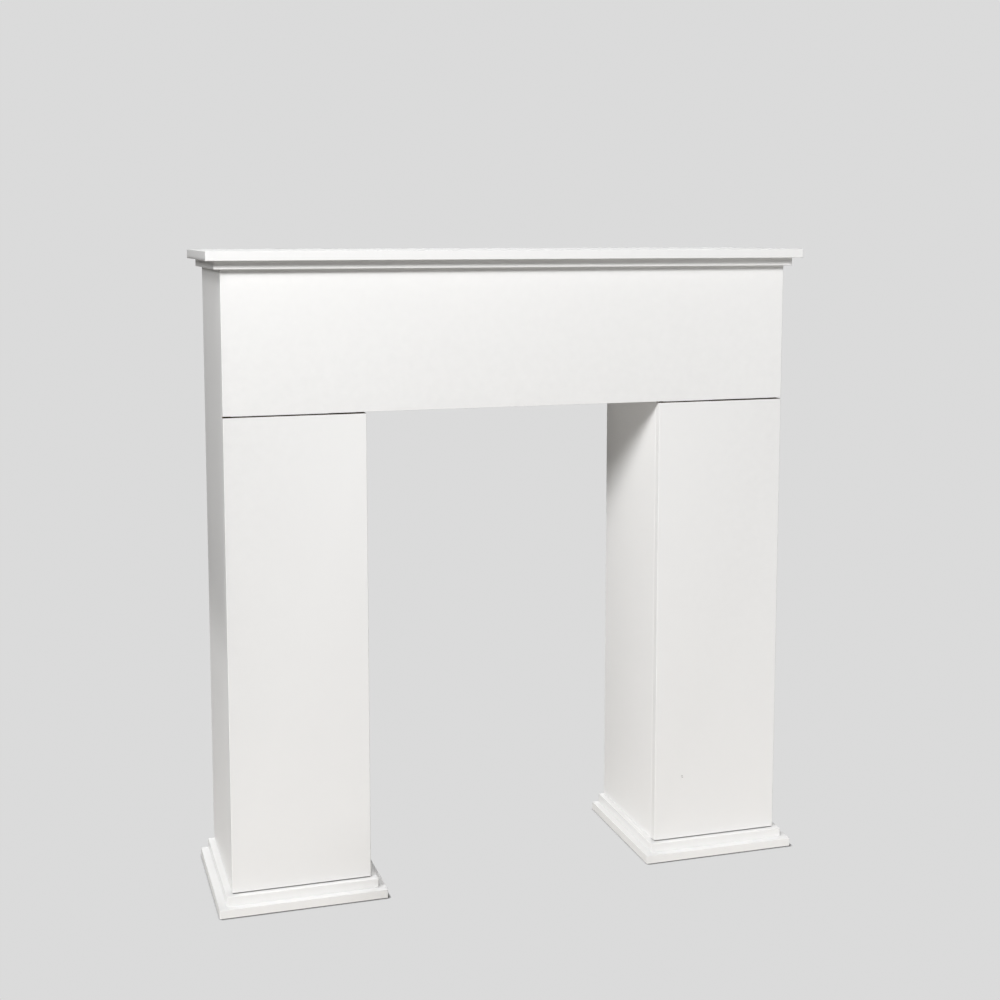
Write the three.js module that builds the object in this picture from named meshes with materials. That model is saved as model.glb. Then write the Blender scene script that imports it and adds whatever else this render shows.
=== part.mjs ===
import * as THREE from 'three';

// A fireplace mantelpiece: a plain white surround made of flat faced boards.
// Two hollow columns, open at the back, stand on stepped plinths of two plates each.
// A frieze board joins them over the opening, and a stepped shelf of two boards lies on top.
// Millimetres, +Z up. The front looks along -Y. The origin is at the bottom centre of the whole piece.

// Whole surround
const overallHeight = 1000;
const bodyWidth = 907; // across the outer faces of the two columns
const bodyDepth = 231.5; // from the front faces to the back edges of the side panels
const columnWidth = 215;
const openingHeight = 758; // from the floor to the lower edge of the frieze
const panelThickness = 14; // columns, frieze and soffit
const arris = 0.6; // the small chamfer that eases every edge of a board

// Shelf: the thin board under it steps back from the shelf's front and ends
const shelfThickness = 14;
const shelfOverhang = 23;
const underboardThickness = 12.6;
const underboardOverhang = 10;

// Plinth under each column: a wide plate on the floor and a narrower one on it
const lowerPlateThickness = 13.4;
const lowerPlateProjection = 22;
const upperPlateThickness = 14.1;
const upperPlateProjection = 10;

// Shadow gaps above and below the front panel of a column
const friezeGap = 2;
const footGap = 1.3;

// Places that follow from the sizes
const reaches = [shelfOverhang, underboardOverhang, lowerPlateProjection, upperPlateProjection];
const frontReach = Math.max(...reaches);
const frontY = (frontReach - bodyDepth) / 2;
const backY = frontY + bodyDepth;
const frontRangeY = [frontY, frontY + panelThickness]; // the frieze and the column fronts
const behindFrontY = [frontY + panelThickness, backY]; // the side panels and the soffit
const bodyX = [-bodyWidth / 2, bodyWidth / 2];
const columnInnerX = bodyWidth / 2 - columnWidth; // a column's face on the opening, from the middle
const plinthTop = lowerPlateThickness + upperPlateThickness;
const shelfUnderside = overallHeight - shelfThickness;
const carcaseTop = shelfUnderside - underboardThickness;
const lowerPlateZ = [0, lowerPlateThickness];
const upperPlateZ = [lowerPlateThickness, plinthTop];
const columnFrontZ = [plinthTop + footGap, openingHeight - friezeGap];
const sidePanelZ = [plinthTop, carcaseTop];
const soffitZ = [openingHeight, openingHeight + panelThickness];

// Rounds to a step that 32-bit numbers hold exactly, so boards that butt together meet in one plane.
const stepsPerMillimetre = 1024;
function onStep(value) {
  return Math.round(value * stepsPerMillimetre) / stepsPerMillimetre;
}

function whiteFoil() {
  return new THREE.MeshStandardMaterial({ color: 0xf0efec, roughness: 0.5, metalness: 0 });
}

// A board of the given full sizes with the same small chamfer on all its edges.
function easedBoard(width, depth, height) {
  const x = width / 2;
  const y = depth / 2;
  const ease = onStep(arris);
  const outline = new THREE.Shape([
    new THREE.Vector2(-x + ease, -y),
    new THREE.Vector2(x - ease, -y),
    new THREE.Vector2(x, -y + ease),
    new THREE.Vector2(x, y - ease),
    new THREE.Vector2(x - ease, y),
    new THREE.Vector2(-x + ease, y),
    new THREE.Vector2(-x, y - ease),
    new THREE.Vector2(-x, -y + ease),
  ]);
  const geometry = new THREE.ExtrudeGeometry(outline, {
    depth: height - 2 * ease,
    bevelEnabled: true,
    bevelThickness: ease,
    bevelSize: ease,
    bevelOffset: -ease,
    bevelSegments: 1,
  });
  return geometry.translate(0, 0, ease - height / 2);
}

// A board that fills the space between two x, two y and two z values.
function board(name, xRange, yRange, zRange) {
  const [x0, x1] = xRange.map(onStep);
  const [y0, y1] = yRange.map(onStep);
  const [z0, z1] = zRange.map(onStep);
  const mesh = new THREE.Mesh(easedBoard(x1 - x0, y1 - y0, z1 - z0), whiteFoil());
  mesh.name = name;
  mesh.position.set((x0 + x1) / 2, (y0 + y1) / 2, (z0 + z1) / 2);
  return mesh;
}

// A plate under or over the given width that stands out by one reach at the front and both ends.
// Its back edge is flush with the body's back.
function steppedPlate(name, [x0, x1], reach, zRange) {
  return board(name, [x0 - reach, x1 + reach], [frontY - reach, backY], zRange);
}

// One column on its plinth. outward is -1 for the left column and 1 for the right one.
function column(side, outward) {
  const group = new THREE.Group();
  const across = (a, b) => [outward * a, outward * b].sort((p, q) => p - q);
  const fullWidth = across(columnInnerX, bodyWidth / 2);
  const outerSide = across(bodyWidth / 2 - panelThickness, bodyWidth / 2);
  const innerSide = across(columnInnerX, columnInnerX + panelThickness);
  group.add(
    steppedPlate(`${side}_plinth_lower_plate`, fullWidth, lowerPlateProjection, lowerPlateZ),
    steppedPlate(`${side}_plinth_upper_plate`, fullWidth, upperPlateProjection, upperPlateZ),
    board(`${side}_column_front`, fullWidth, frontRangeY, columnFrontZ),
    board(`${side}_column_outer_side`, outerSide, behindFrontY, sidePanelZ),
    board(`${side}_column_inner_side`, innerSide, behindFrontY, sidePanelZ),
  );
  return group;
}

// The boards that join the two columns: the frieze covers the side panels' front edges,
// and the soffit closes it from below between the inner sides.
function friezeBoards() {
  const group = new THREE.Group();
  group.add(
    board('frieze_front', bodyX, frontRangeY, [openingHeight, carcaseTop]),
    board('opening_soffit', [-columnInnerX, columnInnerX], behindFrontY, soffitZ),
  );
  return group;
}

function steppedShelf() {
  const group = new THREE.Group();
  group.add(
    steppedPlate('shelf_underboard', bodyX, underboardOverhang, [carcaseTop, shelfUnderside]),
    steppedPlate('shelf', bodyX, shelfOverhang, [shelfUnderside, overallHeight]),
  );
  return group;
}

const mantelpiece = new THREE.Group();
mantelpiece.add(column('left', -1), column('right', 1), friezeBoards(), steppedShelf());

export default mantelpiece;
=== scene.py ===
import math

import bmesh
import bpy
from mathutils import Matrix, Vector


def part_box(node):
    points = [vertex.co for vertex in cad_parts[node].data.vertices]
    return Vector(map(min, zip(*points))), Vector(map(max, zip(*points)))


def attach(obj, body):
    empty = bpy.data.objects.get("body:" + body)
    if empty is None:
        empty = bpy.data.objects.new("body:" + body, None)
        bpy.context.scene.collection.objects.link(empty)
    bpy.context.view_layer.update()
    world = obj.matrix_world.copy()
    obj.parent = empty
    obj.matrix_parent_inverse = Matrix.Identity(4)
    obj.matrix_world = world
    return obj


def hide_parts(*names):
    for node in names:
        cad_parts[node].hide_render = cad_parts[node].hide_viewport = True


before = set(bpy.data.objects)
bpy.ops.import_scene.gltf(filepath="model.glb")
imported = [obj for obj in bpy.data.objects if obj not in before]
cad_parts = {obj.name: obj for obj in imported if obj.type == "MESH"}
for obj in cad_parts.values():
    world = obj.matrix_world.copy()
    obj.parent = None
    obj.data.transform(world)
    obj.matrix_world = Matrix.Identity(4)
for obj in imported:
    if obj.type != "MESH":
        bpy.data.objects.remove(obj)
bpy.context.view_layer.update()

# Lower plinth plates
# Each column stands on a plinth of two plates. The lower one lies on the floor: chipboard faced on both
# sides with satin white foil, 13.4 mm thick, with foil edge bands and slightly rounded arrises.
soft_arris = (0.0009, 0.0009, 0.0007)  # radii along x, y and z, in metres
arris_steps = 3  # steps in half of an arris's quarter turn
plinth_white = (0.93, 0.928, 0.922)
arris_wear_and_shade = 0.24  # how much darker the foil is on an arris: partly wear, partly painted shade where an arris turns from the light
speck_shade = 0.18  # how much darker a speck of dust is
painted_gap_darkness = 0.6  # how much darker the foil is as painted shade in a shadow gap
scuff_shade = 0.55  # how much darker a scuff is


class Link:
    """A socket in a node tree, for a finish or for a shape. Sums written with it add their Math nodes."""

    def __init__(self, tree, socket=None):
        self.tree = tree
        self.socket = socket

    def node(self, kind, settings, inputs, output=0):
        """Adds one node: its settings come first, then the values or links of its sockets."""
        node = self.tree.nodes.new(kind)
        for name, value in settings.items():
            if name == "stops":
                stops = node.color_ramp.elements
                while len(stops) < len(value):
                    stops.new(1.0)
                for stop, (position, colour) in zip(stops, value):
                    stop.position = position
                    stop.color = colour
            else:
                setattr(node, name, value)
        for name, value in inputs.items():
            if isinstance(value, Link):
                self.tree.links.new(value.socket, node.inputs[name])
            else:
                node.inputs[name].default_value = value
        return Link(self.tree, node.outputs[output])

    def maths(self, operation, *values):
        """Adds one Math node, or a Vector Math node where a value is a vector."""
        vector = any(isinstance(v, Link) and v.socket.type == "VECTOR" for v in values)
        kind = "ShaderNodeVectorMath" if vector else "ShaderNodeMath"
        if vector:
            values = [v if isinstance(v, (Link, tuple)) else (v, v, v) for v in values]
        return self.node(kind, {"operation": operation}, dict(enumerate(values)))

    def __add__(self, other):
        return self.maths("ADD", self, other)

    def __sub__(self, other):
        return self.maths("SUBTRACT", self, other)

    def __mul__(self, other):
        return self.maths("MULTIPLY", self, other)

    def __truediv__(self, other):
        return self.maths("DIVIDE", self, other)

    def __rsub__(self, other):
        return self.maths("SUBTRACT", other, self)

    __radd__ = __add__
    __rmul__ = __mul__

    def slope(self, start, end, before=0.0, after=1.0):
        """Goes evenly from the value before to the value after while this socket goes from start to end."""
        limits = {"Value": self, "From Min": start, "From Max": end, "To Min": before, "To Max": after}
        return self.node("ShaderNodeMapRange", {}, limits)


def white_foil(name, colour, scuffs=(), painted_gap_shade=None):
    """Satin white foil over chipboard: a faint mottle, the chips showing through as very low relief,
    and edge bands that are a touch greyer along their arrises, partly from wear and partly as painted
    shade on arrises turned from the light. A scuff is a short dark streak on a front: the x and z of its
    middle, then its half width and half height. A painted gap shade darkens the foil as painted shade in
    the shadow gap under the column fronts: the least and greatest distance from the middle, and its front y."""
    material = bpy.data.materials.new(name)
    material.use_nodes = True
    tree = material.node_tree
    shader = tree.nodes["Principled BSDF"]
    foil = Link(tree)
    place = foil.node("ShaderNodeTexCoord", {}, {}, "Object")

    def noise(scale, detail=2.0):
        return foil.node("ShaderNodeTexNoise", {}, {"Vector": place, "Scale": scale, "Detail": detail})

    clouds = noise(5.0)
    mottle = noise(90.0, 3.0)
    chips = noise(240.0, 1.0)
    grain = noise(1500.0, 1.0)
    cells = {"Vector": place, "Scale": 36.0}
    specks = foil.node("ShaderNodeTexVoronoi", {}, cells)
    speck_tint = foil.node("ShaderNodeTexVoronoi", {}, cells, "Color")
    arris = foil.node("ShaderNodeAttribute", {"attribute_name": "arris"}, {}, "Fac")
    band = foil.node("ShaderNodeAttribute", {"attribute_name": "edge_band"}, {}, "Fac")

    # A speck is the small middle of a cell, in the few cells whose random tint is high.
    speck = specks.slope(0.012, 0.022, 1.0, 0.0) * speck_tint.slope(0.93, 0.94)
    # An arris is darker partly from wear and partly as painted shade, the dark line of an arris turned from
    # the light.
    worn_and_shaded_arris = arris * (0.35 + 0.65 * mottle)
    tone = 0.985 + 0.018 * clouds + 0.012 * mottle - 0.02 * band - arris_wear_and_shade * worn_and_shaded_arris - speck_shade * speck
    spot = [foil.node("ShaderNodeSeparateXYZ", {}, {"Vector": place}, axis) for axis in range(3)]
    # Painted shade: the foil is darker in the shadow gap under the column fronts.
    if painted_gap_shade:
        least, greatest, front = painted_gap_shade
        off_centre = foil.maths("ABSOLUTE", spot[0])
        beyond = foil.maths("GREATER_THAN", off_centre, least)
        within = foil.maths("LESS_THAN", off_centre, greatest)
        behind = spot[1].slope(front, front + 0.001)
        tone = tone - painted_gap_darkness * (beyond * within * behind)
    for x, z, half_width, half_height in scuffs:
        away = [(spot[0] - x) / half_width, (spot[2] - z) / half_height]
        inside = (away[0] * away[0] + away[1] * away[1]).slope(0.4, 1.2, 1.0, 0.0)
        tone = tone - scuff_shade * inside
    tinted = foil.node(
        "ShaderNodeMix",
        {"data_type": "RGBA", "blend_type": "MULTIPLY"},
        {0: 1.0, 6: (*colour, 1.0), 7: foil.node("ShaderNodeCombineColor", {}, {0: tone, 1: tone, 2: tone})},
        2,
    )
    tree.links.new(tinted.socket, shader.inputs["Base Color"])
    rough = 0.40 + 0.06 * mottle + 0.05 * clouds - 0.05 * band + 0.2 * worn_and_shaded_arris
    tree.links.new(rough.socket, shader.inputs["Roughness"])
    relief = foil.node(
        "ShaderNodeBump",
        {},
        {"Strength": 0.35, "Distance": 0.0001, "Height": 0.6 * chips + 0.25 * grain + 0.5 * mottle},
    )
    tree.links.new(relief.socket, shader.inputs["Normal"])
    return material


def eased_board_tree():
    """A board between two corners with all its arrises rounded, as a Geometry Nodes tree. A block of
    faces has its outer rows drawn in to the arrises, and every point is then set on the rounding."""
    tree = bpy.data.node_groups.new("Eased board", "GeometryNodeTree")
    sockets = tree.interface
    sockets.new_socket("Board", in_out="OUTPUT", socket_type="NodeSocketGeometry")
    for name, kind in (
        ("Low corner", "NodeSocketVector"),
        ("High corner", "NodeSocketVector"),
        ("Arris radius", "NodeSocketVector"),
        ("Across", "NodeSocketVector"),
        ("Faces", "NodeSocketMaterial"),
        ("Raw edges", "NodeSocketMaterial"),
        ("Raw edges face", "NodeSocketVector"),
        ("Raw edges from", "NodeSocketFloat"),
    ):
        sockets.new_socket(name, in_out="INPUT", socket_type=kind)
    entry = tree.nodes.new("NodeGroupInput")
    given = {socket.name: Link(tree, socket) for socket in entry.outputs if socket.name}
    low, high, reach = given["Low corner"], given["High corner"], given["Arris radius"]
    shape = Link(tree)

    rows = 2 * arris_steps + 2
    block = shape.node(
        "GeometryNodeMeshCube", {}, {"Vertices X": rows, "Vertices Y": rows, "Vertices Z": rows}
    )
    row = (shape.node("GeometryNodeInputPosition", {}, {}) + 0.5) * float(rows - 1)
    start = shape.maths("MINIMUM", row, float(arris_steps)) / float(arris_steps)
    past = row - float(arris_steps)
    middle = shape.maths("MINIMUM", shape.maths("MAXIMUM", past, 0.0), 1.0)
    end = shape.maths("MAXIMUM", past - 1.0, 0.0) / float(arris_steps)
    square = low + reach * (start + end) + (high - low - 2.0 * reach) * middle
    core = shape.maths("MINIMUM", shape.maths("MAXIMUM", square, low + reach), high - reach)
    outward = shape.node("ShaderNodeVectorMath", {"operation": "NORMALIZE"}, {0: (square - core) / reach})
    placed = shape.node(
        "GeometryNodeSetPosition", {}, {"Geometry": block, "Position": core + outward * reach}
    )

    # Marks for the finish: how far the surface has turned at an arris, and which faces are edge bands.
    full_turn = 3.4  # brings the mark to 1 in the middle of an arris
    turn = shape.maths("ABSOLUTE", outward)
    parts = [shape.node("ShaderNodeSeparateXYZ", {}, {"Vector": turn}, axis) for axis in range(3)]
    most = shape.maths("MAXIMUM", shape.maths("MAXIMUM", parts[0], parts[1]), parts[2])
    turned = shape.maths("MINIMUM", (1.0 - most) * full_turn, 1.0)
    marked = shape.node(
        "GeometryNodeStoreNamedAttribute",
        {"data_type": "FLOAT", "domain": "POINT"},
        {"Geometry": placed, "Name": "arris", "Value": turned},
    )
    facing = shape.node("GeometryNodeInputNormal", {}, {})
    dot = {"operation": "DOT_PRODUCT"}
    across = shape.node("ShaderNodeVectorMath", dot, {0: facing, 1: given["Across"]}, "Value")
    edgewise = shape.maths("LESS_THAN", shape.maths("ABSOLUTE", across), 0.5)
    banded = shape.node(
        "GeometryNodeStoreNamedAttribute",
        {"data_type": "FLOAT", "domain": "FACE"},
        {"Geometry": marked, "Name": "edge_band", "Value": edgewise},
    )
    straight = shape.maths("ABSOLUTE", facing)
    sides = [shape.node("ShaderNodeSeparateXYZ", {}, {"Vector": straight}, axis) for axis in range(3)]
    straightest = shape.maths("MAXIMUM", shape.maths("MAXIMUM", sides[0], sides[1]), sides[2])
    flat = shape.maths("GREATER_THAN", straightest, 0.9999)
    smooth = shape.node(
        "GeometryNodeSetShadeSmooth", {}, {"Geometry": banded, "Selection": flat, "Shade Smooth": False}
    )
    real = shape.node("GeometryNodeRealizeInstances", {}, {"Geometry": smooth})
    faced = shape.node("GeometryNodeSetMaterial", {}, {"Geometry": real, "Material": given["Faces"]})
    along = shape.node("ShaderNodeVectorMath", dot, {0: straight, 1: given["Raw edges face"]}, "Value")
    finished = shape.node(
        "GeometryNodeSetMaterial",
        {},
        {
            "Geometry": faced,
            "Selection": shape.maths("GREATER_THAN", along, given["Raw edges from"]),
            "Material": given["Raw edges"],
        },
    )
    leave = tree.nodes.new("NodeGroupOutput")
    tree.links.new(finished.socket, leave.inputs["Board"])
    return tree


eased_board = eased_board_tree()


def board(name, faces, raw_edges=None, raw_axis=(0.0, 0.0, 0.0), raw_from=0.99, arris=soft_arris):
    """Makes the board that replaces the CAD node of this name, in that node's box. The edges that face
    along the raw axis, one way or the other, have no edge band. Their arrises are raw too where they
    face along it by more than the share given."""
    low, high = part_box(name)
    size = high - low
    across = tuple(float(size[axis] == min(size)) for axis in range(3))
    piece = bpy.data.objects.new(f"{name}_board", bpy.data.meshes.new(f"{name}_board"))
    bpy.context.scene.collection.objects.link(piece)
    modifier = piece.modifiers.new("Board", "NODES")
    modifier.node_group = eased_board
    values = {
        "Low corner": tuple(low),
        "High corner": tuple(high),
        "Arris radius": arris,
        "Across": across,
        "Faces": faces,
        "Raw edges": raw_edges or faces,
        "Raw edges face": raw_axis,
        "Raw edges from": raw_from,
    }
    for item in eased_board.interface.items_tree:
        if item.name in values:
            modifier[item.identifier] = values[item.name]
    seen = piece.evaluated_get(bpy.context.evaluated_depsgraph_get())
    made = bpy.data.meshes.new_from_object(seen)
    piece.modifiers.remove(modifier)
    piece.data = made
    made.name = piece.name
    return piece


def fit(piece, node):
    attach(piece, "root")
    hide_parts(node)


plinth_foil = white_foil("plinth_foil", plinth_white)
for side in ("left", "right"):
    node = f"{side}_plinth_lower_plate"
    fit(board(node, plinth_foil), node)

# Upper plinth plates
# The narrower plate that is fixed on the lower one and carries the column, of the same foil-faced
# board. It steps back 12 mm from the plate under it at the front and both ends. Its foil is darkened
# in the gap under the column front, as painted shade.
front_low, front_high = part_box("right_column_front")
gap_shade_inset = 0.001  # the painted shade stops this far from the front's ends
gap_shade_reach = 0.00025  # and reaches this far out before it
painted_gap_shade = (front_low.x + gap_shade_inset, front_high.x - gap_shade_inset, front_low.y - gap_shade_reach)
upper_plate_foil = white_foil("upper_plate_foil", plinth_white, painted_gap_shade=painted_gap_shade)
for side in ("left", "right"):
    node = f"{side}_plinth_upper_plate"
    fit(board(node, upper_plate_foil), node)

# Column side panels
# The outer and inner side of each hollow column, full-height panels behind the front boards. Their
# back edges stand against the wall and were left as sawn chipboard.
body_white = (0.925, 0.922, 0.915)


def sawn_chipboard(name, shade):
    """The sawn edge of three-layer chipboard, whose flakes are coarser in the middle; it is drawn as
    pressed flakes of one size, with small voids.
    A shade under 1 darkens the edge as painted shade, for the edges inside the shadow gaps, and dulls it."""
    material = bpy.data.materials.new(name)
    material.use_nodes = True
    tree = material.node_tree
    shader = tree.nodes["Principled BSDF"]
    edge = Link(tree)
    place = edge.node("ShaderNodeTexCoord", {}, {}, "Object")
    along = edge.node("ShaderNodeMapping", {}, {"Vector": place, "Scale": (1.0, 1.0, 0.35)})
    flakes_per_metre = 420.0
    flakes = edge.node("ShaderNodeTexVoronoi", {}, {"Vector": along, "Scale": flakes_per_metre}, "Color")
    flake_tone = edge.node("ShaderNodeSeparateColor", {}, {"Color": flakes})
    voids = edge.node(
        "ShaderNodeTexVoronoi", {"feature": "DISTANCE_TO_EDGE"}, {"Vector": along, "Scale": flakes_per_metre}
    )
    dust = edge.node("ShaderNodeTexNoise", {}, {"Vector": place, "Scale": 1800.0, "Detail": 2.0})
    colour = edge.node(
        "ShaderNodeValToRGB",
        {"stops": (
            (0.0, (0.30 * shade, 0.19 * shade, 0.10 * shade, 1.0)),
            (0.35, (0.52 * shade, 0.37 * shade, 0.22 * shade, 1.0)),
            (0.75, (0.66 * shade, 0.50 * shade, 0.32 * shade, 1.0)),
            (1.0, (0.78 * shade, 0.63 * shade, 0.44 * shade, 1.0)),
        )},
        {"Fac": 0.75 * flake_tone + 0.3 * dust},
    )
    tree.links.new(colour.socket, shader.inputs["Base Color"])
    shader.inputs["Roughness"].default_value = 0.9
    shader.inputs["Specular IOR Level"].default_value = 0.4 if shade == 1.0 else 0.0
    relief = edge.node(
        "ShaderNodeBump", {}, {"Strength": 0.8, "Distance": 0.0004, "Height": 3.0 * voids + 0.4 * dust}
    )
    tree.links.new(relief.socket, shader.inputs["Normal"])
    return material


body_foil = white_foil("body_foil", body_white)
raw_edge = sawn_chipboard("sawn_chipboard_edge", 1.0)
for side in ("left", "right"):
    for face in ("outer", "inner"):
        node = f"{side}_column_{face}_side"
        fit(board(node, body_foil, raw_edge, (0.0, 1.0, 0.0)), node)

# Column front boards
# The plain face of each column, edge-banded down both sides and sawn at the top and bottom. It stops just
# short of the plinth and of the frieze, so a thin shadow gap shows under and over it. The right one has
# a small scuff near its foot.
# The fronts' white is a shade darker than the body's: painted shade for the lesser light on the fronts.
shaded_front_white = (0.905, 0.902, 0.896)
front_arris = (0.0009, 0.0009, 0.0005)
foot_scuffs = [
    (front_low.x + 0.0480, front_low.z + 0.1054, 0.0021, 0.0007),
    (front_low.x + 0.0489, front_low.z + 0.1030, 0.0017, 0.0006),
]
front_foils = {
    "left": white_foil("left_front_foil", shaded_front_white),
    "right": white_foil("right_front_foil", shaded_front_white, foot_scuffs),
}
# The sawn top and bottom edges of the fronts, with their arrises, are painted very dark: painted shade for
# the shadow gaps over and under them.
shaded_gap_edge = sawn_chipboard("gap_shaded_chipboard_edge", 0.15)
for side in ("left", "right"):
    node = f"{side}_column_front"
    piece = board(node, front_foils[side], shaded_gap_edge, (0.0, 0.0, 1.0), 0.45, front_arris)
    fit(piece, node)

# Frieze and soffit
# The deep board across the whole width over the opening, flush with the column fronts, and the board
# that closes it from below between the inner sides.
frieze_arris = (0.0009, 0.0009, 0.0003)  # crisp along the shadow gaps
fit(board("frieze_front", body_foil, arris=frieze_arris), "frieze_front")
fit(board("opening_soffit", body_foil, raw_edge, (0.0, 1.0, 0.0)), "opening_soffit")

# Shelf
# Two boards fixed on top: a thinner one under the shelf that steps out 10 mm from the body, and the
# shelf itself, 23 mm out at the front and both ends. Both are faced and edged in white foil.
# The shelf's white is a shade lighter than the body's: painted light for its brighter front edge.
lit_shelf_white = (0.95, 0.948, 0.942)
shelf_foil = white_foil("shelf_foil", lit_shelf_white)
for node in ("shelf_underboard", "shelf"):
    fit(board(node, shelf_foil), node)

# Studio backdrop
# One seamless pale sheet: a floor that turns up into a wall all round, so it looks the same from every
# side. It glows faintly, as a backdrop with its own lamps does, and darkens where something rests on it.
floor_radius = 4.6
cove_radius = 1.4
wall_height = 3.4
cove_steps = 12
turns = 96
profile = [(0.0, 0.0), (1.5, 0.0), (3.0, 0.0)]
for step in range(cove_steps + 1):
    angle = math.radians(90 * step / cove_steps)
    profile.append((floor_radius + cove_radius * math.sin(angle), cove_radius * (1 - math.cos(angle))))
profile.append((floor_radius + cove_radius, wall_height))


def turned_sheet(name, profile):
    """A sheet with the given profile (radius, height) turned about the middle, facing inwards."""
    shell = bmesh.new()
    centre = shell.verts.new((0.0, 0.0, profile[0][1]))
    rings = []
    for radius, height in profile[1:]:
        ring = []
        for turn in range(turns):
            angle = 2 * math.pi * turn / turns
            ring.append(shell.verts.new((radius * math.cos(angle), radius * math.sin(angle), height)))
        rings.append(ring)
    for turn in range(turns):
        after = (turn + 1) % turns
        shell.faces.new((centre, rings[0][turn], rings[0][after]))
        for inner, outer in zip(rings, rings[1:]):
            shell.faces.new((inner[turn], outer[turn], outer[after], inner[after]))
    for face in shell.faces:
        face.smooth = True
    mesh = bpy.data.meshes.new(name)
    shell.to_mesh(mesh)
    shell.free()
    sheet = bpy.data.objects.new(name, mesh)
    bpy.context.scene.collection.objects.link(sheet)
    return sheet


def matt_paint(name, colour):
    material = bpy.data.materials.new(name)
    material.use_nodes = True
    shader = material.node_tree.nodes["Principled BSDF"]
    shader.inputs["Base Color"].default_value = (*colour, 1.0)
    shader.inputs["Roughness"].default_value = 1.0
    shader.inputs["Specular IOR Level"].default_value = 0.0
    return material


backdrop = turned_sheet("studio_backdrop", profile)
backdrop.visible_diffuse = False
backdrop.visible_glossy = False
backdrop.visible_shadow = False
black = (0.0, 0.0, 0.0)
glow_strength = 0.707
contact_reach = 0.0055  # metres from the surround in which the sheet darkens
contact_depth = 4.8  # a higher power makes the contact shadow darker
glowing_paint = matt_paint("backdrop_paint", black)
glow = Link(glowing_paint.node_tree)
# The contact shadow falls away from the main light, which comes from above at the left.
towards_light = glow.node("ShaderNodeCombineXYZ", {}, {"X": -0.73, "Y": -0.05, "Z": 0.68})
contact = glow.node(
    "ShaderNodeAmbientOcclusion", {"samples": 4}, {"Distance": contact_reach, "Normal": towards_light}, "AO"
)
glow_shader = glowing_paint.node_tree.nodes["Principled BSDF"]
glow_shader.inputs["Emission Strength"].default_value = glow_strength
level = glow.maths("POWER", contact, contact_depth)
glow_colour = glow.node("ShaderNodeCombineColor", {}, {0: level, 1: level, 2: level})
glowing_paint.node_tree.links.new(glow_colour.socket, glow_shader.inputs["Emission Color"])
backdrop.data.materials.append(glowing_paint)

# Bounce sheets
# The floor's own share of the light: two plain matt sheets just under the backdrop that only bounce
# light, a pale one close to the surround and a darker one further out.
for name, radius, height, colour in (
    ("near_bounce_sheet", 0.9, -0.0004, (0.745, 0.71, 0.665)),
    ("far_bounce_sheet", 6.0, -0.0005, (0.31, 0.30, 0.285)),
):
    sheet = turned_sheet(name, [(0.0, height), (0.5 * radius, height), (radius, height)])
    sheet.visible_camera = False
    sheet.visible_glossy = False
    sheet.visible_shadow = False
    sheet.data.materials.append(matt_paint(f"{name}_paint", colour))

# Studio light
# The main soft box stands high in front at the left, with a small one nearer the surround, two weak
# ones at the right, a very weak one low at the left and a large soft one behind.
world = bpy.data.worlds.new("studio_air")
bpy.context.scene.world = world
world.use_nodes = True
sky_strength = 0.01
sky = world.node_tree.nodes["Background"]
sky.inputs["Color"].default_value = (1.0, 1.0, 1.0, 1.0)
sky.inputs["Strength"].default_value = sky_strength


def soft_box(name, place, aim, size, power):
    light = bpy.data.lights.new(name, "AREA")
    light.shape = "SQUARE"
    light.size = size
    light.energy = power
    lamp = bpy.data.objects.new(name, light)
    bpy.context.scene.collection.objects.link(lamp)
    lamp.location = place
    lamp.rotation_euler = (Vector(aim) - Vector(place)).to_track_quat("-Z", "Y").to_euler()
    lamp.visible_camera = False


soft_box("main_soft_box", place=(-5.03, -3.83, 3.71), aim=(0.0, -0.1, 0.6), size=1.48, power=336.0)
soft_box("near_soft_box", place=(-0.78, -1.38, 2.02), aim=(0.0, -0.1, 0.6), size=0.6, power=16.4)
soft_box("low_right_soft_box", place=(1.3, -1.1, 0.4), aim=(0.3, 0.0, 0.4), size=0.6, power=3.5)
soft_box("high_right_soft_box", place=(1.6, -1.6, 2.0), aim=(0.3, 0.0, 0.8), size=0.6, power=11.6)
soft_box("low_left_soft_box", place=(-1.5, -0.4, 0.35), aim=(-0.45, 0.0, 0.25), size=0.5, power=0.8)
soft_box("back_soft_box", place=(0.9, 3.2, 1.4), aim=(0.0, 0.0, 0.8), size=2.8, power=58.0)

# Gauze scrims
# Two scrims of dark gauze hang by the left end. The larger one takes a little of the main light off the
# upper part of the column's outer side, the narrow one shades the side just under the shelf. A third, on
# the floor in the opening, keeps the lights at the right off the inner end of the left plinth.
large_densities = [
    (0.4, 0.0),
    (0.44, 0.0),
    (0.53, 0.33),
    (0.60, 0.32),
    (0.67, 0.245),
    (0.83, 0.22),
    (0.91, 0.18),
    (1.0, 0.07),
    (1.3, 0.07),
]
narrow_densities = [(0.96, 0.0), (0.966, 0.0), (0.989, 0.60), (0.992, 0.60), (0.996, 0.0), (1.0, 0.0)]
floor_densities = [(0.012, 0.9), (0.09, 0.9), (0.14, 0.0)]


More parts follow.
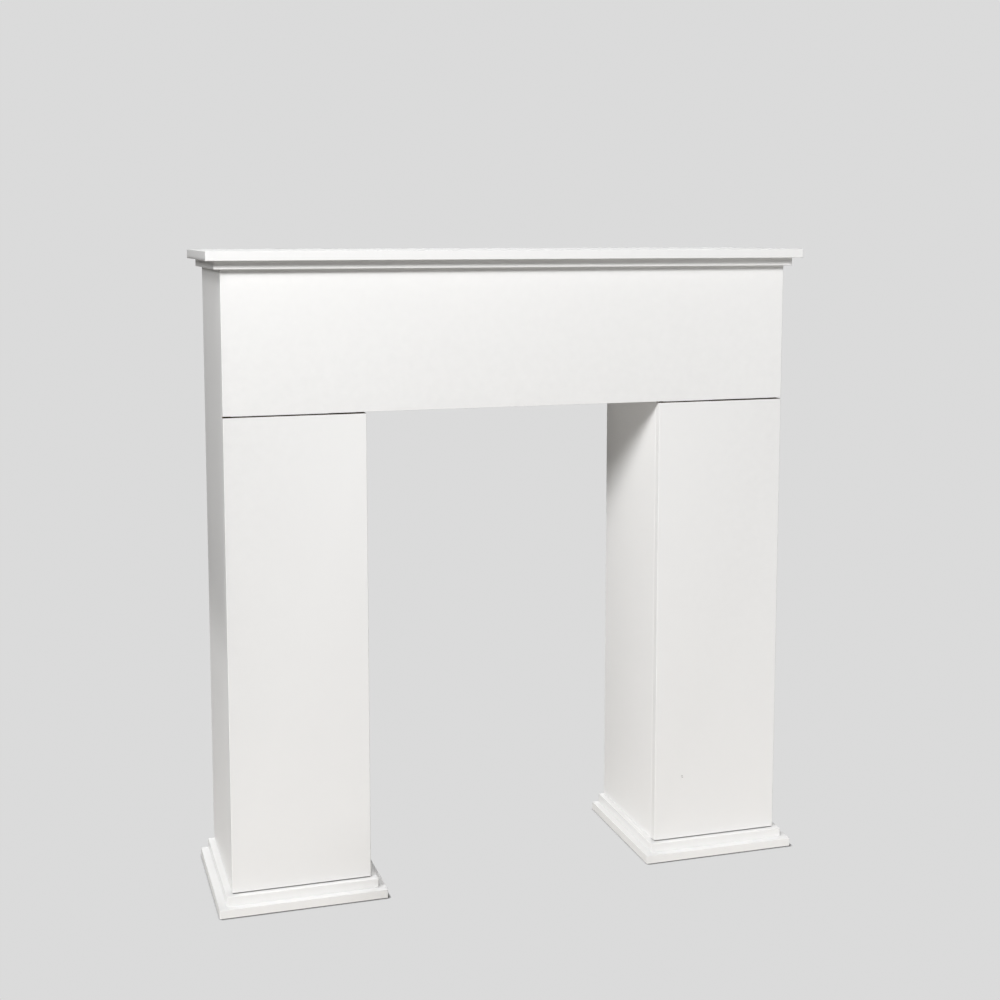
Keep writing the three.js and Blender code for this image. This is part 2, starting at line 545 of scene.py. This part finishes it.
def scrim(name, x, front, back, densities):
    """An upright sheet of gauze square to the x axis, from front to back in y, unseen by the camera. Its
    densities are given at heights in metres, from its foot to its top."""
    low = densities[0][0]
    high = densities[-1][0]
    mesh = bpy.data.meshes.new(name)
    corners = [(x, front, low), (x, back, low), (x, back, high), (x, front, high)]
    mesh.from_pydata(corners, [], [(0, 1, 2, 3)])
    sheet = bpy.data.objects.new(name, mesh)
    bpy.context.scene.collection.objects.link(sheet)
    sheet.visible_camera = False
    sheet.visible_glossy = False
    sheet.visible_diffuse = False
    gauze = matt_paint(f"{name}_gauze", black)
    weave = Link(gauze.node_tree)
    place = weave.node("ShaderNodeTexCoord", {}, {}, "Object")
    share = weave.node("ShaderNodeSeparateXYZ", {}, {"Vector": place}, "Z").slope(low, high)
    stops = [((at - low) / (high - low), (density, density, density, 1.0)) for at, density in densities]
    cover = weave.node("ShaderNodeValToRGB", {"stops": stops}, {"Fac": share})
    gauze.node_tree.links.new(cover.socket, gauze.node_tree.nodes["Principled BSDF"].inputs["Alpha"])
    mesh.materials.append(gauze)


scrim("large_scrim", x=-0.56, front=-0.179, back=0.7, densities=large_densities)
scrim("narrow_scrim", x=-0.485, front=-0.132, back=0.12, densities=narrow_densities)
scrim("floor_scrim", x=-0.165, front=-0.4, back=0.35, densities=floor_densities)

# Camera
# It stands in front of the surround, to the left and a little higher than the shelf, and looks slightly
# down.
camera_place = (-0.7284, -2.3712, 1.0300)
camera_turn = 17.17  # degrees to the right of straight ahead
camera_tilt = 6.46  # degrees down
camera_shift = -0.095  # of the picture's width
lens_in_pixels = 1544.0
picture_width = 1000.0
sensor_width = 36.0  # millimetres

camera_data = bpy.data.cameras.new("camera")
camera_data.sensor_width = sensor_width
camera_data.lens = sensor_width * lens_in_pixels / picture_width
camera_data.shift_y = camera_shift
camera = bpy.data.objects.new("camera", camera_data)
bpy.context.scene.collection.objects.link(camera)
camera.location = camera_place
camera.rotation_euler = (math.radians(90.0 - camera_tilt), 0.0, math.radians(-camera_turn))
bpy.context.scene.camera = camera
bpy.context.scene.view_settings.view_transform = "Standard"
